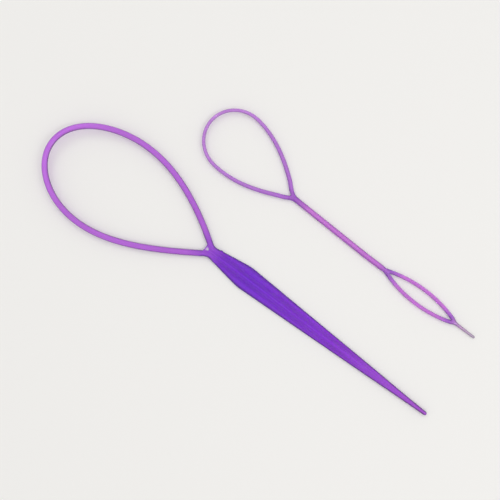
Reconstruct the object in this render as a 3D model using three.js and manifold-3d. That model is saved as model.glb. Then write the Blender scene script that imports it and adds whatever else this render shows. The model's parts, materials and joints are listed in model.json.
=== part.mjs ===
// A set of two pull-through hair styling loops, one large and one small.
// Each tool is moulded in one piece: a round rod bent into a loop, whose two ends
// meet at a throat and run on side by side as the handle. The large handle is a flat
// tapered blade with the two rod ends as ribs on it. The small handle is a slim stem
// that opens into a narrow eye and ends in a blunt prong.
// Each moulding is divided into zones, with a hairline gap at each flex line and
// change of section.
//
// Millimetres, +Z up. +X points to the tips and +Y from the large tool to the small.
// The origin is the middle of the set's footprint, on the surface that it lies on.

import * as THREE from 'three';
import { mergeVertices } from 'three/addons/utils/BufferGeometryUtils.js';
import Module from 'manifold-3d';

const wasm = await Module();
wasm.setup();

// ---------------------------------------------------------------- driving dimensions

const ZONE_GAP = 0.3; // between two zones of one moulding
const WELD = 1e-4; // two points closer than this are one

const ROD_SIDES = 12; // flats round a rod
const LARGE_LOOP_STEPS = 64; // steps along each length of rod or blade
const SMALL_LOOP_STEPS = 48;
const BLADE_STEPS = 24;
const RIB_STEPS = 17;
const STEM_STEPS = 12;
const EYE_STEPS = 14;
const PRONG_STEPS = 14;

// Along a tool, x runs from the throat towards the tip, and s from the throat back
// over the loop. A loop's outline is the line of its rod: straight beside the axis,
// a short bend at the throat, a long flare to the widest point, an elliptical crown.
const LARGE = {
  rodHeight: 2.8,
  loop: {
    rodWidth: 3.4,
    crownRodWidth: 3.4,
    rodOffset: 1.75,
    bendStart: -3,
    bendCorner: 1.2,
    bendEnd: [5, 4.35],
    flare: [[25.3, 17.7], [45.7, 27.9]],
    widestAt: 66,
    halfWidth: 27.9,
    crownAt: 106,
    lean: 0,
    sway: -4.1, // sideways drift of the crown, which sets in over the distances back
    swayOver: [5, 95.4],
    lift: 4, // height that the crown stands off the surface
  },
  // half-width of the blade: throat, shoulder, long taper, tip
  blade: {
    outline: [
      [0, 2.4], [11, 5.05], [20.3, 6.42], [23.8, 6.68], [28, 6.47],
      [60, 5], [104, 2.98], [130, 1.65], [144, 1.1],
    ],
    flangeThickness: 1.5,
    tipThickness: 2.3,
    noseDrop: 0.6, // share of the tip's thickness left at the very end
    thickenFrom: 70,
    edgeBevel: 0.4,
    mostBevel: 0.4, // share of the half-width that the bevel may take
    noseAngles: [25, 50, 75], // degrees round the tip
    ribHeight: 2.7,
    ribEndHeight: 2,
    ribOffset: 1.75,
    ribOffsetShare: 0.4, // most of the blade's half-width that the offset may take
    ribSpread: 0.8, // a rib's half-width for each millimetre of its offset
    ribClearance: 0.3, // from the blade's flat underside up to its ribs
    ribSpan: [4, 100],
    ribBlend: [-12, 6], // over this stretch the rod of the loop turns into a rib
  },
  web: { length: 4, buried: 2, thickness: 0.8, halfWidth: 2.2 }, // thin film across the crotch
  hingeAt: -16,
  bladeFrom: 9.8,
};

const SMALL = {
  position: [16.8, 51.1],
  turn: -1.98, // degrees, from the large tool's axis
  rodHeight: 2,
  rodClearance: 0.1, // from the stem's flat underside up to the rods
  loop: {
    rodWidth: 2.4,
    crownRodWidth: 1.9,
    rodOffset: 0.4,
    bendStart: -2,
    bendCorner: -0.65,
    bendEnd: [2.5, 2.5],
    flare: [[15.7, 11.3], [28.9, 17.5]],
    widestAt: 43.3,
    halfWidth: 17.5,
    crownAt: 61.5,
    lean: 5.3, // degrees, from the stem's axis towards +Y
    sway: 0,
    swayOver: [5, 55.4],
    lift: 1.5,
  },
  stem: { width: 3.1, height: 2.4, from: 0, to: 66 },
  eye: { from: 64, to: 113.3, halfWidth: 4.45, endOffset: 0.2, rodWidth: 2.1, rodHeight: 2 },
  prong: {
    from: 110.8, to: 125.2, width: 1.9, endWidth: 1.4, height: 1.9, endHeight: 1.4,
    endShare: 0.25, // of its size left at the very end of its nose
  },
  tipDrift: { from: 52, slope: 0.0297 }, // the eye and prong run a little towards +Y
  hingeAt: -11.5,
  stemFrom: 5,
  eyeFrom: 61,
  prongFrom: 113.8,
};

const BURIED = 0.7; // a rod narrows to this share where its end is buried in a handle
const FLAT_FOOT = 0.86; // a handle's round section is cut flat below this share of its half-height

// -------------------------------------------------------------------------- helpers

const vector = (x, y, z) => new THREE.Vector3(x, y, z);
const toVectors = (points) => points.map(([x, y]) => new THREE.Vector2(x, y));
const mix = THREE.MathUtils.lerp;
const ease = (x, from, to) => THREE.MathUtils.smoothstep(x, from, to);

// A closed skin over rings of points, which turn by the right-hand rule about the path.
function loft(rings) {
  const n = rings[0].length;
  const last = rings.length - 1;
  const middle = (ring) => ring.reduce((sum, p) => sum.add(p), vector(0, 0, 0)).divideScalar(n);
  const points = [...rings.flat(), middle(rings[0]), middle(rings[last])];
  const [startCap, endCap] = [points.length - 2, points.length - 1];
  const index = [];
  for (let j = 0; j < n; j++) {
    const k = (j + 1) % n;
    for (let i = 0; i < last; i++) {
      const [a, b, c, d] = [i * n + j, i * n + k, (i + 1) * n + k, (i + 1) * n + j];
      index.push(a, b, c, a, c, d);
    }
    index.push(startCap, k, j, endCap, last * n + j, last * n + k);
  }
  return new THREE.BufferGeometry().setFromPoints(points).setIndex(index);
}

// A rod along a line of points. Its section is an ellipse of size(i) = [width, height],
// and foot is the share of its half-height at which its underside is cut flat.
function rod(line, size, foot = 1) {
  const up = vector(0, 0, 1);
  return loft(line.map((centre, i) => {
    const before = line[Math.max(i - 1, 0)];
    const after = line[Math.min(i + 1, line.length - 1)];
    const along = after.clone().sub(before).normalize();
    const side = up.clone().cross(along).normalize();
    const rise = along.clone().cross(side);
    const [width, height] = size(i, centre);
    return Array.from({ length: ROD_SIDES }, (_, j) => {
      const angle = (2 * Math.PI * j) / ROD_SIDES;
      return centre.clone()
        .addScaledVector(side, (width / 2) * Math.cos(angle))
        .addScaledVector(rise, (height / 2) * Math.max(Math.sin(angle), -foot));
    });
  }));
}

// three.js geometry to a solid that can be joined and cut, and back again.
function toSolid(geometry) {
  const bare = new THREE.BufferGeometry();
  bare.setAttribute('position', geometry.getAttribute('position'));
  bare.setIndex(geometry.getIndex());
  const merged = mergeVertices(bare, WELD);
  return new wasm.Manifold(new wasm.Mesh({
    numProp: 3,
    vertProperties: new Float32Array(merged.getAttribute('position').array),
    triVerts: new Uint32Array(merged.getIndex().array),
  }));
}

function toGeometry(solid) {
  const { vertProperties, triVerts, numProp } = solid.getMesh();
  const position = [];
  for (let i = 0; i < vertProperties.length; i += numProp) {
    position.push(vertProperties[i], vertProperties[i + 1], vertProperties[i + 2]);
  }
  const geometry = new THREE.BufferGeometry();
  geometry.setAttribute('position', new THREE.Float32BufferAttribute(position, 3));
  geometry.setIndex(new THREE.Uint32BufferAttribute(triVerts, 1));
  geometry.computeVertexNormals();
  return geometry;
}

const join = (solids) => solids.reduce((whole, piece) => whole.add(piece));

// The part of a solid between two planes across the X axis, half a gap short of each.
function zone(solid, from, to) {
  const reach = 400;
  const low = Math.max(from, -reach) + ZONE_GAP / 2;
  const high = Math.min(to, reach) - ZONE_GAP / 2;
  const box = new THREE.BoxGeometry(high - low, reach, reach);
  return solid.intersect(toSolid(box.translate((low + high) / 2, 0, 0)));
}

function part(name, solid, material) {
  const mesh = new THREE.Mesh(toGeometry(solid), material);
  mesh.name = name;
  return mesh;
}

// ---------------------------------------------------------------------------- loops

// The plan of a loop's rod, evenly spaced, from one side of the handle to the other.
function loopPlan(loop, steps) {
  const { rodOffset, bendStart, bendCorner, bendEnd, flare, widestAt, halfWidth, crownAt } = loop;
  const [[flareX, flareY], [necking, neckY]] = flare;
  const path = new THREE.Path()
    .moveTo(bendStart, rodOffset)
    .quadraticCurveTo(bendCorner, rodOffset, ...bendEnd)
    .bezierCurveTo(flareX, flareY, necking, neckY, widestAt, halfWidth)
    .absellipse(widestAt, 0, crownAt - widestAt, halfWidth, Math.PI / 2, -Math.PI / 2, true)
    .bezierCurveTo(necking, -neckY, flareX, -flareY, bendEnd[0], -bendEnd[1])
    .quadraticCurveTo(bendCorner, -rodOffset, bendStart, -rodOffset);
  return path.getSpacedPoints(steps);
}

// The line of a loop's rod in space: laid back from the throat, leaning, swayed and lifted.
function loopLine(loop, height, steps) {
  const lean = THREE.MathUtils.degToRad(-loop.lean);
  return loopPlan(loop, steps).map(({ x: s, y }) => {
    const back = Math.max(s, 0) / loop.crownAt;
    const sideways = y + loop.sway * ease(s, ...loop.swayOver);
    const turned = new THREE.Vector2(-s, sideways).rotateAround(new THREE.Vector2(), s > 0 ? lean : 0);
    return vector(turned.x, turned.y, height + loop.lift * back * back);
  });
}

function loopRodWidth(loop, point) {
  return mix(loop.rodWidth, loop.crownRodWidth, ease(-point.x, 0, loop.crownAt));
}

// ----------------------------------------------------------------------- large tool

function bladeOutline(steps) {
  return new THREE.SplineCurve(toVectors(LARGE.blade.outline)).getPoints(steps);
}

// The flat flange, from the throat to the round tip.
function bladeFlange() {
  const { blade } = LARGE;
  const outline = bladeOutline(BLADE_STEPS);
  const end = outline.at(-1);
  for (const angle of blade.noseAngles) {
    const turn = THREE.MathUtils.degToRad(angle);
    outline.push(new THREE.Vector2(end.x + end.y * Math.sin(turn), end.y * Math.cos(turn)));
  }
  const thickness = (x) => mix(blade.flangeThickness, blade.tipThickness, ease(x, blade.thickenFrom, end.x));
  return loft(outline.map(({ x, y: halfWidth }) => {
    const bevel = Math.min(blade.edgeBevel, blade.mostBevel * halfWidth);
    const top = thickness(x) * (x > end.x ? blade.noseDrop + (1 - blade.noseDrop) * (halfWidth / end.y) : 1);
    const corners = [
      [halfWidth, bevel], [halfWidth, top - bevel], [halfWidth - bevel, top],
      [bevel - halfWidth, top], [-halfWidth, top - bevel], [-halfWidth, bevel],
      [bevel - halfWidth, 0], [halfWidth - bevel, 0],
    ];
    return corners.map(([y, z]) => vector(x, y, z));
  }));
}

// How far the rod has become a rib of the blade: 0 on the loop, 1 on the blade.
function ribness(x) {
  return ease(x, ...LARGE.blade.ribBlend);
}

function rodHeightAt(x) {
  const { blade, rodHeight } = LARGE;
  const rib = mix(blade.ribHeight, blade.ribEndHeight, Math.max(x, 0) / blade.ribSpan[1]);
  return mix(rodHeight, rib, ribness(x));
}

function restOnBlade(point) {
  const z = rodHeightAt(point.x) / 2 + LARGE.blade.ribClearance * ribness(point.x);
  return vector(point.x, point.y, point.z + z);
}

// One side's rib: the rod's end, from near the tip of the blade back to the throat.
function ribLine(side) {
  const { blade } = LARGE;
  const [from, to] = blade.ribSpan;
  return bladeOutline(RIB_STEPS)
    .filter(({ x }) => x > from && x < to)
    .map(({ x, y: halfWidth }) => {
      const offset = Math.min(blade.ribOffset, blade.ribOffsetShare * halfWidth);
      return vector(x, side * offset, 0);
    });
}

// The rod, whole: down one rib from the tip, round the loop and back up the other.
function largeRod() {
  const { blade, loop } = LARGE;
  const line = [...ribLine(1).reverse(), ...loopLine(loop, 0, LARGE_LOOP_STEPS), ...ribLine(-1)];
  return rod(line.map(restOnBlade), (i, centre) => {
    const rib = 2 * blade.ribSpread * Math.abs(centre.y);
    const width = mix(loopRodWidth(loop, centre), rib, ease(centre.x, 0, blade.ribBlend[1]));
    return [width, rodHeightAt(centre.x)];
  });
}

function crotchWeb() {
  const { web, rodHeight } = LARGE;
  const film = new THREE.BoxGeometry(web.length + web.buried, 2 * web.halfWidth, web.thickness);
  return film.translate((web.buried - web.length) / 2, 0, rodHeight / 2);
}

function largeTool() {
  const body = join([bladeFlange(), largeRod(), crotchWeb()].map(toSolid));
  return [
    part('large_loop', zone(body, -Infinity, LARGE.hingeAt), plastic.loop),
    part('large_throat', zone(body, LARGE.hingeAt, LARGE.bladeFrom), plastic.blade),
    part('large_blade', zone(body, LARGE.bladeFrom, Infinity), plastic.blade),
  ];
}

// ----------------------------------------------------------------------- small tool

function drift(x) {
  const { from, slope } = SMALL.tipDrift;
  return slope * Math.max(x - from, 0);
}

// A straight length of handle with a flat underside on the surface.
function handleRod(from, to, steps, size) {
  const line = Array.from({ length: steps + 1 }, (_, i) => {
    const x = mix(from, to, i / steps);
    return vector(x, drift(x), (FLAT_FOOT * size(x)[1]) / 2);
  });
  return rod(line, (i, centre) => size(centre.x), FLAT_FOOT);
}

const rodMiddle = () => SMALL.rodHeight / 2 + SMALL.rodClearance;

// The share of its full size that a rod has at step i, so that its ends stay inside the handle.
const buriedEnds = (i, steps) => (i === 0 || i === steps ? BURIED : 1);

function eyeSide(side) {
  const { from, to, halfWidth, endOffset } = SMALL.eye;
  const bow = new THREE.QuadraticBezierCurve(...toVectors([
    [from, side * endOffset],
    [(from + to) / 2, side * (2 * halfWidth - endOffset)],
    [to, side * endOffset],
  ]));
  return bow.getPoints(EYE_STEPS).map(({ x, y }) => vector(x, y + drift(x), rodMiddle()));
}

function smallEye(side) {
  const { rodWidth, rodHeight } = SMALL.eye;
  return rod(eyeSide(side), (i) => {
    const share = buriedEnds(i, EYE_STEPS);
    return [share * rodWidth, share * rodHeight];
  });
}

function smallProng() {
  const { from, to, width, endWidth, height, endHeight, endShare } = SMALL.prong;
  const round = endWidth / 2;
  return handleRod(from, to, PRONG_STEPS, (x) => {
    const along = (x - from) / (to - from);
    const intoNose = Math.max(x - to + round, 0) / round;
    const share = Math.max(Math.sqrt(1 - intoNose ** 2), endShare);
    return [share * mix(width, endWidth, along), share * mix(height, endHeight, along)];
  });
}

function smallLoop() {
  const { loop, rodHeight } = SMALL;
  return rod(loopLine(loop, rodMiddle(), SMALL_LOOP_STEPS), (i, centre) => {
    const share = buriedEnds(i, SMALL_LOOP_STEPS);
    return [share * loopRodWidth(loop, centre), share * rodHeight];
  });
}

function smallTool() {
  const { stem } = SMALL;
  const body = join([
    smallLoop(),
    handleRod(stem.from, stem.to, STEM_STEPS, () => [stem.width, stem.height]),
    smallEye(1),
    smallEye(-1),
    smallProng(),
  ].map(toSolid));
  const tool = new THREE.Group();
  tool.add(
    part('small_loop', zone(body, -Infinity, SMALL.hingeAt), plastic.small),
    part('small_throat', zone(body, SMALL.hingeAt, SMALL.stemFrom), plastic.small),
    part('small_stem', zone(body, SMALL.stemFrom, SMALL.eyeFrom), plastic.small),
    part('small_eye', zone(body, SMALL.eyeFrom, SMALL.prongFrom), plastic.small),
    part('small_prong', zone(body, SMALL.prongFrom, Infinity), plastic.prong),
  );
  tool.position.set(...SMALL.position, 0);
  tool.rotation.z = THREE.MathUtils.degToRad(SMALL.turn);
  return tool;
}

// ---------------------------------------------------------------------------- the set

const moulded = (color) => new THREE.MeshStandardMaterial({ color, roughness: 0.25, metalness: 0 });
const plastic = {
  blade: moulded(0x7432c4),
  loop: moulded(0xaa5ad7),
  small: moulded(0xb46ad4),
  prong: moulded(0xbeaac8),
};

const set = new THREE.Group();
set.add(...largeTool(), smallTool());
set.updateMatrixWorld(true);

const footprint = new THREE.Box3().setFromObject(set, true);
const middle = footprint.getCenter(vector(0, 0, 0));
set.position.set(-middle.x, -middle.y, -footprint.min.z);

export default set;
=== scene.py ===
"""A set of two pull-through hair styling loops of translucent purple plastic, lying on a pale floor.

Each tool is one moulding: a round rod bent into a loop, whose two ends meet at a throat and run on as the
handle. Here each is one unbroken skin of quads, laid over the CAD zones that it replaces, with its flex
joint from model.json just behind the throat. A skin is made in its tool's own millimetres: x runs from the
throat to the tip, y to the left of that and z up from the floor.
"""

import json
import math
from types import SimpleNamespace as Sizes

import bmesh
import bpy
import numpy as np
from mathutils import Matrix, Vector


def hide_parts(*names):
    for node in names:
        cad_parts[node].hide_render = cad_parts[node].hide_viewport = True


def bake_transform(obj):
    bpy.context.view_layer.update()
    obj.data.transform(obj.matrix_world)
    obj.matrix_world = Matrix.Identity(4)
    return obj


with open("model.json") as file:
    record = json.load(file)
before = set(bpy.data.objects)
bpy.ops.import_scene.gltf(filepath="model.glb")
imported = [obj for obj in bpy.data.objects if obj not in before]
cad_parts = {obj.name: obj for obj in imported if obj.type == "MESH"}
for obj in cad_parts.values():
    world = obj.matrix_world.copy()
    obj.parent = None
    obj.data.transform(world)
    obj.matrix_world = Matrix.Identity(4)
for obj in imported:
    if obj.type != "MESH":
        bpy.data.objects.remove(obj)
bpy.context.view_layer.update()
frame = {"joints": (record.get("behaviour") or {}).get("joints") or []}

# ----------------------------------------------------------------------------------- sizes, in millimetres

MM = 0.001  # metres

# A loop's outline is the line of its rod: straight beside the axis, a short bend at the throat, a long
# flare to the widest point and an elliptical crown. Its x is the distance back from the throat.
LARGE_LOOP = Sizes(
    rod_half_width=1.7, crown_half_width=1.7, rod_half_height=1.4, rod_offset=1.75,
    bend_start=-1, bend_corner=1.2, bend_end=(3.3, 3.19), flare=((25.3, 17.7), (45.7, 27.9)),
    widest_at=66, half_width=27.9, crown_at=106, lean=0, sway=-4.1, lift=4,
    split_at=4, rings=210, settle=4, crotch_bow=0.3, hinge_back=16,
)
SMALL_LOOP = Sizes(
    rod_half_width=1.2, crown_half_width=0.95, rod_half_height=1.0, rod_offset=0.4,
    bend_start=-2, bend_corner=-0.65, bend_end=(2.5, 2.5), flare=((15.7, 11.3), (28.9, 17.5)),
    widest_at=43.3, half_width=17.5, crown_at=61.5, lean=5.3, sway=0, lift=1.5,
    split_at=1.0, rings=150, settle=3, crotch_bow=0.45, hinge_back=11.5,
)
LEAN_REACH = 6  # a loop that leans does so over this distance from its split
SWAY_FROM = 5  # how far back a loop's sway sets in
SWAY_SHARE = 0.9  # of the way to the crown, where the sway is complete

# On the blade, a pair of places is where a change along it sets in and where it is complete.
BLADE = Sizes(
    outline=((0, 3.55), (2, 3.66), (11, 5.05), (20.3, 6.42), (23.8, 6.68), (28, 6.47), (60, 5),
             (104, 2.98), (130, 1.65), (144, 1.1)),
    tip=144, tip_half_width=1.1, tip_height=2.3, tip_foot=0.95, tip_rounding=(96, 134),
    flange=1.5, edge=1.35, edge_round=0.6, rods_flatten=(0, 12),
    rib_crest=2.9, valley=2.2, rib_offset=1.75, rib_half_width=1.5, rib_offset_share=0.4,
    ribs_fade=(70, 122),
)
WEB = Sizes(half_height=0.26, low=0.5, thickening=(-2.9, -0.7), sinking=(-1, 4))
GATE_NUB = Sizes(at=4.2, length=0.7, height=0.4)  # the stub of the moulding gate
NUB_FROM = 0.9  # the share of the blade's half-width beyond which the nub moves it
STEM = Sizes(half_width=1.55, half_height=1.2, foot=0.86, ridge=0.06, rods_flatten=(0.5, 7))
EYE = Sizes(start=64, end=113.3, half_width=4.45, rod_half_width=1.05, rod_half_height=1.0,
            first_split=67.8, last_split=109.5, opening=(61.5, 66.5), closing=(109.5, 114.3),
            rings=70, settle=3, crotch_bow=0.5)
PRONG = Sizes(start=110.8, tip=125.2, half_width=0.95, tip_half_width=0.7)
DRIFT = Sizes(start=52, slope=0.0297)  # the eye and prong run a little to the left
PARTING_RIDGE = 0.035  # the mould's parting line, round the outside and inside of each rod

# Where the skins' rings are: spans of (start, end, steps) along a handle, and the points round it.
LARGE_STEPS = 16
LARGE_INNER_POINTS = 7
LARGE_STATIONS = ((-LARGE_LOOP.split_at, 2, 14), (2, 18, 32), (18, 130, 80), (130, BLADE.tip, 14))
SMALL_STEPS = 12
SMALL_INNER_POINTS = 5
STEM_STATIONS = ((-SMALL_LOOP.split_at, 4, 14), (4, 60, 40), (60, EYE.first_split, 17))
PRONG_STATIONS = ((EYE.last_split, 115, 14), (115, PRONG.tip - PRONG.tip_half_width, 12))
CROWDING = 0.72  # of a strand's rings towards its ends: 0 is even
NOSE = Sizes(rings=7, crowding=0.8, bluntness=0.8)
SAMPLES = Sizes(bend=60, flare=240, crown=240, blade_span=40, eye=200)  # of the curves

# The colour looks deeper over the ribs, where there is more plastic to see through. Painted shade darkens
# the rims of the handles and rods, standing in for the dark edges that refraction gives there.
RIM_SHADE = Sizes(inner=0.9, outer=0.35)  # of a handle: from the edge, it sets in between these
ROD_RIM_SHADE = Sizes(inner=0.7, outer=0.94)  # of a rod: shares of its half-width
RIB_BAND = Sizes(offset=1.65, width=0.9, depth=0.35, starting=(1, 8), ending=(80, 115))
# painted shade down the crotch, where the two rods meet
CROTCH_SHADE = 0.6
CLEAR_FILM = Sizes(half_width=0.1, starting=(-3.9, -3.3), ending=(-2.6, -1.8))  # in the large crotch


def smooth(x, low, high):
    """0 below low and 1 above high, with a smooth rise between them."""
    t = np.clip((x - low) / (high - low), 0, 1)
    return t * t * (3 - 2 * t)


def mix(a, b, share):
    return a + (b - a) * share


# ------------------------------------------------------------------------------------------------- curves

def bezier(points, steps):
    """Points along a Bezier curve of any degree."""
    t = np.linspace(0, 1, steps)[:, None]
    layer = [np.array(p, float) + 0 * t for p in points]
    while len(layer) > 1:
        layer = [mix(a, b, t) for a, b in zip(layer, layer[1:])]
    return layer[0]


def catmull_rom(points, steps):
    """Points along a smooth curve that passes through all of the given ones."""
    p = np.array(points, float)
    p = np.vstack([p[0], p, p[-1]])
    t = np.linspace(0, 1, steps)[:, None]
    spans = []
    for p0, p1, p2, p3 in zip(p, p[1:], p[2:], p[3:]):
        rise, fall = (p2 - p0) / 2, (p3 - p1) / 2
        spans.append(p1 + rise * t + (3 * (p2 - p1) - 2 * rise - fall) * t**2
                     + (2 * (p1 - p2) + rise + fall) * t**3)
    return np.vstack(spans)


def loop_plan(loop):
    """The left side of a loop's outline, from the handle to the crown: distance back, distance out."""
    beside_axis = (loop.bend_start, loop.rod_offset)
    corner = (loop.bend_corner, loop.rod_offset)
    bend = bezier([beside_axis, corner, loop.bend_end], SAMPLES.bend)
    flare = bezier([loop.bend_end, *loop.flare, (loop.widest_at, loop.half_width)], SAMPLES.flare)
    turn = np.linspace(math.pi / 2, 0, SAMPLES.crown)[:, None]
    crown = np.hstack([loop.widest_at + (loop.crown_at - loop.widest_at) * np.cos(turn),
                       loop.half_width * np.sin(turn)])
    return np.vstack([bend, flare[1:], crown[1:]])


def loop_line(loop):
    """The centre line of a loop's rod in space, from its left split to its right one."""
    left = loop_plan(loop)
    left = left[left[:, 0] > loop.split_at]
    plan = np.vstack([left, left[-2::-1] * (1, -1)])
    back = plan[:, 0]
    out = plan[:, 1] + loop.sway * smooth(back, SWAY_FROM, SWAY_SHARE * loop.crown_at)
    lean = -math.radians(loop.lean) * smooth(back, loop.split_at, loop.split_at + LEAN_REACH)
    x = -back * np.cos(lean) - out * np.sin(lean)
    y = -back * np.sin(lean) + out * np.cos(lean)
    z = loop.rod_half_height + loop.lift * (back / loop.crown_at) ** 2
    return np.stack([x, y, z], axis=1)


def distances(line):
    """How far along a line each of its points is."""
    return np.concatenate([[0], np.cumsum(np.linalg.norm(np.diff(line, axis=0), axis=1))])


def respaced(line, count, crowding):
    """count points inside a line, closer together towards its ends, how far along each is, and the line's
    length."""
    at = distances(line)
    u = np.arange(1, count + 1) / (count + 1)
    wanted = at[-1] * (u - crowding * np.sin(2 * math.pi * u) / (2 * math.pi))
    points = np.stack([np.interp(wanted, at, line[:, k]) for k in range(3)], axis=1)
    return points, wanted, at[-1]


def stations(spans):
    """Ring places along a handle, from spans of (start, end, steps)."""
    return np.unique(np.concatenate([np.linspace(a, b, steps + 1) for a, b, steps in spans]))


# -------------------------------------------------------------------------------------------------- skins

# A strand's ring has an outer row of points, which reaches this far round from outward, in degrees, on
# either side. At the split it leaves only the crotch to the inner row.
OUTER_REACH = Sizes(split=172, open=120)
OPENING_SHARE = 2.5  # of a strand's settling distance, over which its rows even out
MOST_OBLIQUE = 0.5  # the cosine of the most oblique cut across a strand that is widened to suit
RIDGE_FROM = 0.97  # the share of a rod's half-width at which its parting ridge begins


class Skin:
    """Rings of points joined by quads. Each point also has a grain: the distance along the moulding, across
    it and up, which textures follow, so that they run along the rod and stay put when it flexes. Its depth
    is how deep the plastic's colour looks there, with painted shade at the rims and in the crotch, and its
    film how thin and clear the plastic is."""

    def __init__(self, half_steps, inner_points):
        self.half_steps = half_steps  # from the bottom of a handle's ring round one side to its top
        self.inner_points = inner_points  # between top and bottom, on the inner side of a strand's ring
        self.points = []
        self.grain = []
        self.depth = []
        self.film = []
        self.faces = []

    def add(self, points, grain, depth=0, film=0):
        first = len(self.points)
        self.points.extend(map(tuple, points))
        self.grain.extend(map(tuple, grain))
        self.depth.extend(np.zeros(len(points)) + depth)
        self.film.extend(np.zeros(len(points)) + film)
        return list(range(first, len(self.points)))

    def handle_ring(self, x, half, nub=0, band=0, film=0):
        """A ring across the handle, from its left half: (y, z) from the middle of the bottom to the top.
        A nub moves the left edge out, band is how deep the colour is over the ribs, and film how thin and
        clear the middle is. The rims are darkened with painted shade."""
        right = half[-2:0:-1] * (-1, 1)
        on_edge = smooth(half[:, 0], NUB_FROM * half[:, 0].max(), half[:, 0].max())
        left = half + np.outer(on_edge, (nub, 0))
        section = np.vstack([left, right])
        points = np.column_stack([np.full(len(section), x), section])
        out = np.abs(section[:, 0])
        rim_shade = smooth(out, out.max() - RIM_SHADE.inner, out.max() - RIM_SHADE.outer)
        over_ribs = band * np.exp(-((out - RIB_BAND.offset) / RIB_BAND.width) ** 2)
        in_middle = out < CLEAR_FILM.half_width
        return self.add(points, points, np.maximum(rim_shade, over_ribs), film * in_middle)

    def sides(self, ring):
        """The left and the right half of a handle's ring, each from the bottom to the top."""
        top = self.half_steps
        return ring[:top + 1], [ring[0], *ring[:top:-1], ring[top]]

    def crotch(self, x, half, bow):
        """The points down the crotch where a handle's ring splits in two, darkened with painted shade. It
        bows into the gap by bow.
        """
        low, high = half[0, 1], half[-1, 1]
        angles = np.linspace(math.pi / 2, -math.pi / 2, self.inner_points + 2)[1:-1]
        z = (low + high) / 2 + (high - low) / 2 * np.sin(angles)
        points = np.stack([x + bow * np.cos(angles), 0 * z, z], axis=1)
        return self.add(points, points, CROTCH_SHADE)

    def split(self, x, ring, half, bow):
        """Splits a handle's ring into the first rings of its left and right strands."""
        inner = self.crotch(x, half, bow)
        left, right = self.sides(ring)
        return left + inner, right + inner

    def bridge(self, ring, following):
        for k in range(len(ring)):
            after = (k + 1) % len(ring)
            self.faces.append((ring[k], ring[after], following[after], following[k]))

    def bridge_all(self, rings):
        for ring, following in zip(rings, rings[1:]):
            self.bridge(ring, following)

    def close(self, ring):
        """Closes the end of a handle with strips across it, from one side to the other."""
        left, right = self.sides(ring)
        for j in range(self.half_steps):
            face = (left[j], left[j + 1], right[j + 1], right[j])
            self.faces.append(tuple(dict.fromkeys(face)))

    def strand_angles(self, opened):
        """The angles from outward of a strand's ring, outer row first. opened is 0 at a split and 1 where
        the rows have evened out."""
        reach = math.radians(mix(OUTER_REACH.split, OUTER_REACH.open, opened))
        outer = np.linspace(-reach, reach, self.half_steps + 1)
        inner = np.linspace(reach, 2 * math.pi - reach, self.inner_points + 2)[1:-1]
        return np.concatenate([outer, inner])

    def strand_ring(self, point, out, way, size, near, start, settle):
        """One ring of a strand, at a point of its line. near is the distance to the line's closer end, out
        points away from the hole that the strand goes round, and way points along the line."""
        settled = smooth(near, 0, settle)
        across = np.array([0, math.copysign(1, out[1])])
        plane = mix(across, out, settled)
        plane /= np.linalg.norm(plane)
        width, height = size
        width /= max(plane @ out, MOST_OBLIQUE)
        angles = self.strand_angles(smooth(near, 0, OPENING_SHARE * settle))
        sideness = np.abs(np.cos(angles))
        ridge = 1 + PARTING_RIDGE / width * smooth(sideness, RIDGE_FROM, 1) * settled
        sideways = width * np.cos(angles) * ridge
        rise = height * np.sin(angles)
        tilt = -way[2] / math.hypot(way[0], way[1])
        ring = np.stack([point[0] + plane[0] * sideways + tilt * rise * way[0],
                         point[1] + plane[1] * sideways + tilt * rise * way[1],
                         point[2] + rise], axis=1)
        grain = np.stack([start - near + 0 * rise, sideways, rise], axis=1)
        # painted shade: the colour darkens towards the sides of the rod
        return self.add(ring, grain, smooth(sideness, ROD_RIM_SHADE.inner, ROD_RIM_SHADE.outer))

    def strand(self, line, rings, size, side, start, settle):
        """The rings of a strand along a line that starts on one side (1 left, -1 right). Near each end the
        rings turn to lie across the handle, and they settle square to the line over the distance settle.
        size gives the half-width and half-height at a point, and start is the grain at the line's start."""
        points, at, length = respaced(line, rings, CROWDING)
        along = np.gradient(points, axis=0)
        along /= np.linalg.norm(along, axis=1)[:, None]
        outward = np.stack([along[:, 1], -along[:, 0]], axis=1)
        outward /= np.linalg.norm(outward, axis=1)[:, None]
        outward *= side * np.sign(outward[0, 1])
        near = np.minimum(at, length - at)
        return [self.strand_ring(point, out, way, size(point), gap, start, settle)
                for point, out, way, gap in zip(points, outward, along, near)]


# ----------------------------------------------------------------------------------------------- sections

SEAM = math.radians(12)  # two rods that touch are joined over at least this angle on each rod
FILLET = Sizes(height=0.75, parting=(0.9, 1.15), loss=0.35)  # shares of the rods' height and width
EDGE_ROUND = Sizes(of_width=0.4, of_height=0.45)  # the most that the blade's edge is rounded by
UNDERSIDE = (0, 0.35, 0.7, 1)  # where the points of the flat underside are, as shares of its width
FLAT_POINT = (0.5, 0.6)  # shares of the way in from edge to rib and up from the edge to the flange
RIB_FLANK = (0.96, 0.6, 0.28, -0.02)  # a rib's points from foot to crest, as shares of its half-width
RIB_HOLLOW = ((0.6, 0.8), (0.26, 0.22), (0, 0))  # shares of the way out and up from the valley


def rods_at(loop, x):
    """How far from the axis the middle of a loop's rod is at x, and half its width across the handle."""
    plan = loop_plan(loop)
    c = np.interp(-x, plan[:, 0], plan[:, 1])
    slope = np.interp(-x, plan[:, 0], np.gradient(plan[:, 1]) / np.gradient(plan[:, 0]))
    return c, loop.rod_half_width * math.hypot(1, slope)


def rod_reach(c, width):
    """How far round from outward a rod's surface runs before it meets the axis, c from the rod's middle."""
    return math.acos(-min(c / width, math.cos(SEAM)))


def two_rods(c, width, height, middle, steps, low, high):
    """The left half of the section of two rods side by side, c from the axis, run together between low
    and high where they meet."""
    reach = rod_reach(c, width)
    angles = np.linspace(-reach, reach, steps + 1)
    half = np.stack([c + width * np.cos(angles), middle + height * np.sin(angles)], axis=1)
    half[0] = (0, low)
    half[-1] = (0, high)
    return half


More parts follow.
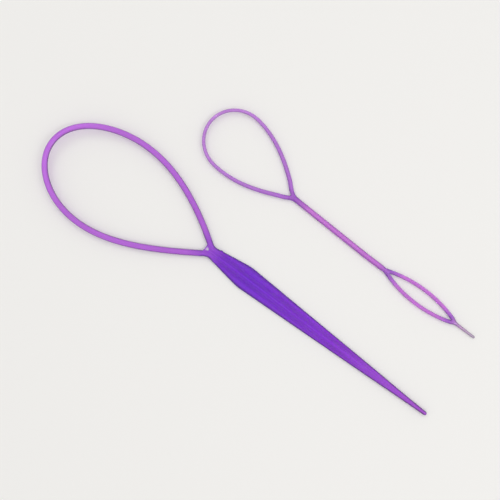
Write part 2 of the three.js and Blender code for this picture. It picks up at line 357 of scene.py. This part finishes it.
def filleted_rods(c, width, height):
    """Two rods of the small tool that run into each other, with the groove between them filled by a small
    fillet, which shrinks as they part."""
    fillet = FILLET.height * height
    parted = smooth(c / width, *FILLET.parting)
    rise = max(height * math.sin(rod_reach(c, width)), fillet * (1 - parted * FILLET.loss))
    return two_rods(c, width, height, height, SMALL_STEPS, height - rise, height + rise)


def round_bar(width, height, middle, steps, foot):
    """The left half of an elliptical section, cut flat below foot times its half-height."""
    angles = np.linspace(-math.pi / 2, math.pi / 2, steps + 1)
    rise = np.maximum(np.sin(angles), -foot)
    return np.stack([width * np.cos(angles), middle + height * rise], axis=1)


def spread(half, c, wanted):
    """Moves the side of a section that is beyond c out or in, so that it is wanted wide."""
    widest = half[:, 0].max()
    share = np.clip((half[:, 0] - c) / (widest - c), 0, 1) ** 2
    return half + np.stack([(wanted - widest) * share, 0 * share], axis=1)


def nose(half, share):
    """A section shrunk towards the middle of the tip, share of the way from full size to nothing."""
    middle = np.array([0, half[:, 1].mean()])
    size = np.array([math.cos(share * math.pi / 2), math.cos(share * math.pi / 2) ** NOSE.bluntness])
    return middle + (half - middle) * size


def nose_rings(skin, half, x, length):
    """The rings of a rounded tip that runs on from x."""
    shares = np.linspace(0, 1, NOSE.rings + 2)[1:-1] ** NOSE.crowding
    return [skin.handle_ring(x + length * math.sin(s * math.pi / 2), nose(half, s)) for s in shares]


def loop_rod_size(loop):
    """The half-width and half-height of a loop's rod, as a function of a point of its line."""
    def size(point):
        share = smooth(-point[0], 0, loop.crown_at)
        return mix(loop.rod_half_width, loop.crown_half_width, share), loop.rod_half_height
    return size


def add_loop(skin, loop, ring, half):
    """Splits the handle's first ring and leads the rod round the loop from one half to the other."""
    left, right = skin.split(-loop.split_at, ring, half, -loop.crotch_bow)
    line = loop_line(loop)
    rings = skin.strand(line, loop.rings, loop_rod_size(loop), 1, -loop.split_at, loop.settle)
    skin.bridge_all([left, *rings, right])


# --------------------------------------------------------------------------------------------- large tool

blade_outline = catmull_rom(BLADE.outline, SAMPLES.blade_span)


def blade_half_width(x):
    return np.interp(x, blade_outline[:, 0], blade_outline[:, 1])


def blade_heights(x):
    """The heights of the flange, its edge, the ribs' crests and the valley between the ribs."""
    fade_start = BLADE.ribs_fade[0]
    fade = 1 - smooth(x, *BLADE.ribs_fade)
    top = mix(BLADE.tip_height, BLADE.flange, 1 - smooth(x, fade_start, BLADE.tip))
    edge = top - (BLADE.flange - BLADE.edge) * fade
    crest = mix(top, BLADE.rib_crest, fade)
    valley = mix(top, BLADE.valley, fade)
    return top, edge, crest, valley


def flange_edge(wide, edge):
    """The flat underside of the blade's section and its rounded edge, and where the flat top begins."""
    r = min(BLADE.edge_round, EDGE_ROUND.of_width * wide, EDGE_ROUND.of_height * edge)
    corner = r * (1 - math.sqrt(0.5))
    bottom = [(share * (wide - r), 0) for share in UNDERSIDE]
    side = [(wide - corner, corner), (wide, r), (wide, edge - r), (wide - corner, edge - corner),
            (wide - r, edge)]
    return bottom + side, wide - r


def blade_rib(offset, reach, top, crest, valley):
    """A rib from its foot over its crest to the middle of the valley."""
    flank = [(offset + reach * d, mix(top, crest, 0.5 + 0.5 * math.cos(math.pi * d))) for d in RIB_FLANK]
    hollow = [(offset * share, mix(valley, crest, lift)) for share, lift in RIB_HOLLOW]
    return flank + hollow


def blade_section(x):
    """The left half of the blade's section: flat underside, rounded edge, flange, rib and valley."""
    wide = blade_half_width(x)
    top, edge, crest, valley = blade_heights(x)
    outside, flat_from = flange_edge(wide, edge)
    offset = min(BLADE.rib_offset, BLADE.rib_offset_share * wide)
    reach = BLADE.rib_half_width * offset / BLADE.rib_offset
    flat = [(mix(flat_from, offset + reach, FLAT_POINT[0]), mix(edge, top, FLAT_POINT[1]))]
    return np.array(outside + flat + blade_rib(offset, reach, top, crest, valley), float)


def large_rods(c, width, x):
    """The left half of the section of the large tool's two rods at x, with the web between them."""
    middle = LARGE_LOOP.rod_half_height
    thickened = smooth(x, *WEB.thickening)
    low = mix(middle - WEB.half_height, WEB.low, thickened) * (1 - smooth(x, *WEB.sinking))
    high = mix(middle + WEB.half_height, BLADE.valley, thickened)
    return two_rods(c, width, middle, middle, LARGE_STEPS, low, high)


def large_section(x):
    """The left half of the large handle's section at x: two rods, then the blade, then a round tip."""
    c, width = rods_at(LARGE_LOOP, x)
    beside = min(c, LARGE_LOOP.rod_offset) if x > 0 else c  # the ribs stay beside the axis
    rods = large_rods(beside, width, x)
    if x < 0:
        return rods
    wide = blade_half_width(x)
    bar = round_bar(wide, BLADE.tip_height / 2, BLADE.tip_height / 2, LARGE_STEPS, BLADE.tip_foot)
    half = mix(rods, blade_section(x), smooth(x, *BLADE.rods_flatten))
    half = mix(half, bar - (0, bar[0, 1]), smooth(x, *BLADE.tip_rounding))
    return spread(half, min(c, 0.5 * wide), wide)


def gate_nub(x):
    """How far the stub of the moulding gate stands out of the left edge of the blade."""
    return GATE_NUB.height * math.exp(-(((x - GATE_NUB.at) / GATE_NUB.length) ** 4))


def rib_band(x):
    """How deep the colour over the ribs is."""
    return RIB_BAND.depth * smooth(x, *RIB_BAND.starting) * (1 - smooth(x, *RIB_BAND.ending))


def web_film(x):
    """How thin and clear the web in the crotch is."""
    return smooth(x, *CLEAR_FILM.starting) * (1 - smooth(x, *CLEAR_FILM.ending))


def large_skin():
    skin = Skin(LARGE_STEPS, LARGE_INNER_POINTS)
    places = stations(LARGE_STATIONS)
    halves = [large_section(x) for x in places]
    rings = [skin.handle_ring(x, half, gate_nub(x), rib_band(x), web_film(x))
             for x, half in zip(places, halves)]
    add_loop(skin, LARGE_LOOP, rings[0], halves[0])
    rings += nose_rings(skin, halves[-1], BLADE.tip, BLADE.tip_half_width)
    skin.bridge_all(rings)
    skin.close(rings[-1])
    return skin


# --------------------------------------------------------------------------------------------- small tool

def stem_section(x):
    """The left half of the stem: a flat-footed bar with a faint ridge along its top."""
    bar = round_bar(STEM.half_width, STEM.half_height, STEM.half_height * STEM.foot, SMALL_STEPS, STEM.foot)
    bar[-1, 1] += STEM.ridge
    return bar


def prong_section(x):
    """The left half of the prong: a flat-footed bar that tapers."""
    share = (x - PRONG.start) / (PRONG.tip - PRONG.start)
    size = mix(PRONG.half_width, PRONG.tip_half_width, np.clip(share, 0, 1))
    return round_bar(size, size, size * STEM.foot, SMALL_STEPS, STEM.foot)


def fork_section(x):
    """The left half of the small handle's section between its fork and its stem."""
    c, width = rods_at(SMALL_LOOP, x)
    rods = filleted_rods(c, width, SMALL_LOOP.rod_half_height)
    return mix(rods, stem_section(x), smooth(x, *STEM.rods_flatten))


def eye_bow(x):
    """How far the middle of the eye's rods is from the axis at x, and how steeply they spread there."""
    u = (x - EYE.start) / (EYE.end - EYE.start)
    return 4 * EYE.half_width * u * (1 - u), 4 * EYE.half_width * (1 - 2 * u) / (EYE.end - EYE.start)


def eye_end_section(x, handle, share):
    """The left half of the section where the eye's two rods run into the stem or the prong."""
    c, slope = eye_bow(np.clip(x, EYE.start, EYE.end))
    width = EYE.rod_half_width * math.hypot(1, slope)
    rods = filleted_rods(max(c, 0), width, EYE.rod_half_height)
    return mix(handle(x), rods, share)


def eye_line(side):
    """The centre line of one of the eye's rods."""
    x = np.linspace(EYE.first_split, EYE.last_split, SAMPLES.eye)
    return np.stack([x, side * eye_bow(x)[0], 0 * x + EYE.rod_half_height], axis=1)


def eye_rod_size(point):
    return EYE.rod_half_width, EYE.rod_half_height


def small_section(x):
    """The left half of the small handle's section at x."""
    if x < EYE.start / 2:
        return fork_section(x)
    if x < EYE.last_split:
        return eye_end_section(x, stem_section, smooth(x, *EYE.opening))
    return eye_end_section(x, prong_section, 1 - smooth(x, *EYE.closing))


def add_eye(skin, first, last, first_half, last_half):
    """Leads two strands from the stem to the prong."""
    openings = skin.split(EYE.first_split, first, first_half, EYE.crotch_bow)
    closings = skin.split(EYE.last_split, last, last_half, -EYE.crotch_bow)
    for side, opening, closing in zip((1, -1), openings, closings):
        line = eye_line(side)
        rings = skin.strand(line, EYE.rings, eye_rod_size, side, EYE.first_split, EYE.settle)
        skin.bridge_all([opening, *rings, closing])


def small_skin():
    skin = Skin(SMALL_STEPS, SMALL_INNER_POINTS)
    stem_places = stations(STEM_STATIONS)
    prong_places = stations(PRONG_STATIONS)
    stem_halves = [small_section(x) for x in stem_places]
    prong_halves = [small_section(x) for x in prong_places]
    stem = [skin.handle_ring(x, half) for x, half in zip(stem_places, stem_halves)]
    prong = [skin.handle_ring(x, half) for x, half in zip(prong_places, prong_halves)]
    add_loop(skin, SMALL_LOOP, stem[0], stem_halves[0])
    add_eye(skin, stem[-1], prong[0], stem_halves[-1], prong_halves[0])
    prong += nose_rings(skin, prong_halves[-1], prong_places[-1], PRONG.tip_half_width)
    skin.bridge_all(stem)
    skin.bridge_all(prong)
    skin.close(prong[-1])
    skin.points = [(x, y + DRIFT.slope * max(x - DRIFT.start, 0), z) for x, y, z in skin.points]
    return skin


# ------------------------------------------------------------------------------------------------ objects

def placed(name, data):
    """An object in the scene."""
    piece = bpy.data.objects.new(name, data)
    bpy.context.scene.collection.objects.link(piece)
    return piece


def tool_place(joint, hinge_back):
    """The matrix from a tool's own millimetres to the row frame. The hinge lies hinge_back behind the
    throat."""
    axis, hinge = Vector(joint["axis"]), Vector(joint["pos_m"])
    along = Vector((axis.y, -axis.x, 0))
    throat = Vector((hinge.x, hinge.y, 0)) + along * hinge_back * MM
    across = Vector((-along.y, along.x, 0))
    rows = zip(along * MM, across * MM, (0, 0, MM), throat)
    return Matrix([*rows, (0, 0, 0, 1)])


def mesh_of(name, skin, place):
    """A skin's mesh in the row frame, with the attributes that its material reads."""
    mesh = bpy.data.meshes.new(name)
    mesh.from_pydata([place @ Vector(p) for p in skin.points], [], skin.faces)
    grain = mesh.attributes.new("grain", "FLOAT_VECTOR", "POINT")
    grain.data.foreach_set("vector", np.array(skin.grain, np.float32).ravel())
    for attribute in ("depth", "film"):
        values = mesh.attributes.new(attribute, "FLOAT", "POINT")
        values.data.foreach_set("value", np.array(getattr(skin, attribute), np.float32))
    edit = bmesh.new()
    edit.from_mesh(mesh)
    bmesh.ops.recalc_face_normals(edit, faces=edit.faces)
    edit.to_mesh(mesh)
    edit.free()
    return mesh


def subdivide(piece):
    """Applies one level of subdivision and shades the result smooth."""
    piece.modifiers.new("subdivision", "SUBSURF").levels = 1
    evaluated = piece.evaluated_get(bpy.context.evaluated_depsgraph_get())
    fine = bpy.data.meshes.new_from_object(evaluated)
    piece.modifiers.clear()
    piece.data = fine
    fine.polygons.foreach_set("use_smooth", [True] * len(fine.polygons))


def tool(name, skin, joint_name, hinge_back, zones, material):
    """One moulding, placed by its loop's flex joint and laid in place of its CAD zones."""
    joint = next(j for j in frame["joints"] if j["name"] == joint_name)
    place = tool_place(joint, hinge_back)
    piece = placed(name, mesh_of(name, skin, place))
    subdivide(piece)
    piece.data.materials.append(material)
    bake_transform(piece)
    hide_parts(*zones)
    return piece


# ---------------------------------------------------------------------------------------------- materials

IOR = 1.49  # of polypropylene
SPECULAR_LEVEL = 0.35
NOISE_MIDDLE = (0.3, 0.7)  # most of a noise texture's values are in this range
FLOW_STRETCH = (0.05, 1.1, 1.1)  # per millimetre along the moulding, across it and up
FLOW_SHADE = (0.9, 1.1)  # how much darker and lighter the flow lines are
SPECK_SCALE = 2.4  # per millimetre
FLOW_HEIGHT = 0.5
SPECK_HEIGHT = 0.06
BUMP = {"Strength": 0.15, "Distance": 0.00005}
CLEAR = (1, 0.95, 1, 1)


def srgb(red, green, blue):
    """A colour given in 0 to 255 as it looks on screen."""
    def linear(value):
        value /= 255
        return value / 12.92 if value <= 0.04045 else ((value + 0.055) / 1.055) ** 2.4
    return (linear(red), linear(green), linear(blue), 1)


class Nodes:
    """A short way to write a node tree."""

    def __init__(self, tree):
        self.tree = tree

    def add(self, kind, inputs=(), **settings):
        node = self.tree.nodes.new(kind)
        for name, value in settings.items():
            setattr(node, name, value)
        for socket, value in dict(inputs).items():
            self.set(node.inputs[socket], value)
        return node

    def set(self, socket, value):
        if isinstance(value, bpy.types.NodeSocket):
            self.tree.links.new(value, socket)
        else:
            socket.default_value = value

    def attribute(self, name, output):
        return self.add("ShaderNodeAttribute", attribute_name=name).outputs[output]

    def math(self, operation, *values):
        node = self.add("ShaderNodeMath", operation=operation)
        for socket, value in zip(node.inputs, values):
            self.set(socket, value)
        return node.outputs[0]

    def rescale(self, value, before, after=(0, 1)):
        """A value that runs over the range before, stretched to run over the range after."""
        ends = {"From Min": before[0], "From Max": before[1], "To Min": after[0], "To Max": after[1]}
        return self.add("ShaderNodeMapRange", {"Value": value, **ends}).outputs[0]

    def blend(self, kind, factor, colour, other):
        node = self.add("ShaderNodeMix", data_type="RGBA", blend_type=kind)
        self.set(node.inputs["Factor"], factor)
        self.set(node.inputs[6], colour)
        self.set(node.inputs[7], other)
        return node.outputs[2]

    def ramp(self, factor, stops):
        """A colour for each place from 0 to 1."""
        node = self.add("ShaderNodeValToRGB", {"Fac": factor})
        elements = node.color_ramp.elements
        while len(elements) < len(stops):
            elements.new(0.5)
        for element, (place, colour) in zip(elements, sorted(stops)):
            element.position = place
            element.color = colour
        return node.outputs["Color"]


def new_material(name):
    """A material that has nodes, and its shader."""
    material = bpy.data.materials.new(name)
    material.use_nodes = True
    return material, material.node_tree.nodes["Principled BSDF"]


def tint_along(nodes, grain, tints):
    """The colour at each place along the moulding, from tints of (x, colour)."""
    first, last = tints[0][0], tints[-1][0]
    along = nodes.add("ShaderNodeSeparateXYZ", {0: grain}).outputs["X"]
    stops = [((x - first) / (last - first), colour) for x, colour in tints]
    return nodes.ramp(nodes.rescale(along, (first, last)), stops)


def noises(nodes, grain):
    """The faint flow lines along the moulding, and a finer speck."""
    stretched = nodes.add("ShaderNodeMapping", {"Vector": grain, "Scale": FLOW_STRETCH}).outputs[0]
    flow = nodes.add("ShaderNodeTexNoise", {"Vector": stretched, "Scale": 1.0, "Detail": 4.0})
    speck = nodes.add("ShaderNodeTexNoise", {"Vector": grain, "Scale": SPECK_SCALE, "Detail": 3.0})
    return flow.outputs[0], speck.outputs[0]


def shaded(nodes, tint, deep, flow):
    """The tint made deeper over the ribs, darkened with painted shade at the rims and in the crotch, clearer
    in the web's film, and darker and lighter along the flow lines.
    """
    deepened = nodes.blend("MULTIPLY", nodes.attribute("depth", "Fac"), tint, deep)
    cleared = nodes.blend("MIX", nodes.attribute("film", "Fac"), deepened, CLEAR)
    shade = nodes.rescale(flow, NOISE_MIDDLE, FLOW_SHADE)
    return nodes.add("ShaderNodeHueSaturation", {"Color": cleared, "Value": shade}).outputs[0]


def relief(nodes, flow, speck):
    """The normal of a surface that is very slightly uneven."""
    height = nodes.math("ADD", nodes.math("MULTIPLY", flow, FLOW_HEIGHT),
                        nodes.math("MULTIPLY", speck, SPECK_HEIGHT))
    return nodes.add("ShaderNodeBump", {"Height": height, **BUMP}).outputs[0]


def plastic(name, tints, deep, absorbed, density, transmission, roughness):
    """Translucent moulded plastic. tints are (x, colour) along the moulding, and deep is what they are
    multiplied by where the colour is deepest: over the ribs, and where painted shade darkens the rims and
    the crotch. roughness is the range between specks."""
    material, shader = new_material(name)
    nodes = Nodes(material.node_tree)
    grain = nodes.attribute("grain", "Vector")
    flow, speck = noises(nodes, grain)
    tint = tint_along(nodes, grain, tints)
    nodes.set(shader.inputs["Base Color"], shaded(nodes, tint, deep, flow))
    nodes.set(shader.inputs["Roughness"], nodes.rescale(speck, NOISE_MIDDLE, roughness))
    nodes.set(shader.inputs["Normal"], relief(nodes, flow, speck))
    shader.inputs["IOR"].default_value = IOR
    shader.inputs["Specular IOR Level"].default_value = SPECULAR_LEVEL
    shader.inputs["Transmission Weight"].default_value = transmission
    absorption = nodes.add("ShaderNodeVolumeAbsorption", {"Color": absorbed, "Density": density})
    output = material.node_tree.nodes["Material Output"]
    nodes.set(output.inputs["Volume"], absorption.outputs[0])
    return material


def large_plastic():
    return plastic(
        "large_plastic",
        tints=[(-60, srgb(218, 127, 250)), (-12, srgb(214, 120, 250)), (8, srgb(158, 50, 250)),
               (25, srgb(149, 42, 252)), (80, srgb(172, 58, 255)), (147, srgb(206, 102, 244))],
        deep=(0.4, 0.6, 0.4, 1), absorbed=srgb(205, 140, 242), density=110, transmission=0.45,
        roughness=(0.12, 0.24))


def small_plastic():
    return plastic(
        "small_plastic",
        tints=[(-60, srgb(220, 156, 244)), (-8, srgb(218, 144, 248)), (2, srgb(202, 118, 240)),
               (12, srgb(242, 152, 255)), (60, srgb(240, 148, 255)), (67, srgb(200, 124, 240)),
               (78, srgb(218, 152, 244)), (100, srgb(216, 146, 242)), (110, srgb(212, 136, 242)),
               (116, srgb(252, 212, 253)), (125, srgb(253, 235, 253))],
        deep=(0.6, 0.6, 0.66, 1), absorbed=srgb(220, 170, 243), density=50, transmission=0.5,
        roughness=(0.12, 0.24))


# ------------------------------------------------------------------------------------ floor, lights, view

FLOOR_REACH = 2.5  # metres from the middle of the set to each side
FLOOR_GAP = 0.0001  # metres below the tools


def floor():
    r = FLOOR_REACH
    mesh = bpy.data.meshes.new("floor")
    mesh.from_pydata([(-r, -r, 0), (r, -r, 0), (r, r, 0), (-r, r, 0)], [], [(0, 1, 2, 3)])
    piece = placed("floor", mesh)
    piece.location.z = -FLOOR_GAP
    material, shader = new_material("floor")
    shader.inputs["Base Color"].default_value = srgb(243, 242, 240)
    shader.inputs["Roughness"].default_value = 0.8
    shader.inputs["Specular IOR Level"].default_value = 0.15
    mesh.materials.append(material)


def area_light(name, place, size, power):
    """A square softbox that faces the middle of the set."""
    data = bpy.data.lights.new(name, "AREA")
    data.size = size
    data.energy = power
    light = placed(name, data)
    light.location = place
    light.rotation_euler = (-Vector(place)).to_track_quat("-Z", "Y").to_euler()


def sky(zenith, horizon):
    """Even studio light from above, dimmer towards the horizon."""
    world = bpy.data.worlds.new("studio")
    world.use_nodes = True
    bpy.context.scene.world = world
    nodes = Nodes(world.node_tree)
    way = nodes.add("ShaderNodeTexCoord").outputs["Generated"]
    height = nodes.add("ShaderNodeSeparateXYZ", {0: way}).outputs["Z"]
    background = world.node_tree.nodes["Background"]
    nodes.set(background.inputs["Strength"], nodes.rescale(height, (0, 1), (horizon, zenith)))
    background.inputs["Color"].default_value = (1, 0.995, 0.985, 1)


def camera(target, azimuth, elevation, distance, lens):
    """A camera that looks at target. Azimuth 0 looks along +Y."""
    a, e = math.radians(azimuth), math.radians(elevation)
    right = Vector((math.cos(a), math.sin(a), 0))
    back = Vector((math.sin(a) * math.cos(e), -math.cos(a) * math.cos(e), math.sin(e)))
    up = back.cross(right)
    data = bpy.data.cameras.new("camera")
    data.lens = lens
    data.clip_start = 0.01
    view = placed("camera", data)
    place = Vector(target) + back * distance
    view.matrix_world = Matrix([*zip(right, up, back, place), (0, 0, 0, 1)])
    bpy.context.scene.camera = view


def studio():
    """The floor, the lights, with places and sizes in metres and powers in watts, and the photo's view."""
    floor()
    sky(zenith=0.86, horizon=0.6)
    area_light("overhead", (0.05, 0.1, 1.1), 1.7, 2.0)
    area_light("side", (0.75, 0.35, 0.8), 0.3, 0.5)
    area_light("far_side", (-0.75, 0.45, 0.8), 0.3, 0.6)
    area_light("window", (0.5, 0.02, 0.75), 0.06, 0.5)
    camera(target=(-0.00281, -0.00745, 0), azimuth=37.05, elevation=86, distance=0.381, lens=50)
    bpy.context.scene.view_settings.view_transform = "Standard"


def main():
    tool("large_tool", large_skin(), "large_loop_flex", LARGE_LOOP.hinge_back,
         ["large_blade", "large_throat", "large_loop"], large_plastic())
    tool("small_tool", small_skin(), "small_loop_flex", SMALL_LOOP.hinge_back,
         ["small_prong", "small_eye", "small_stem", "small_throat", "small_loop"],
         small_plastic())
    studio()


main()
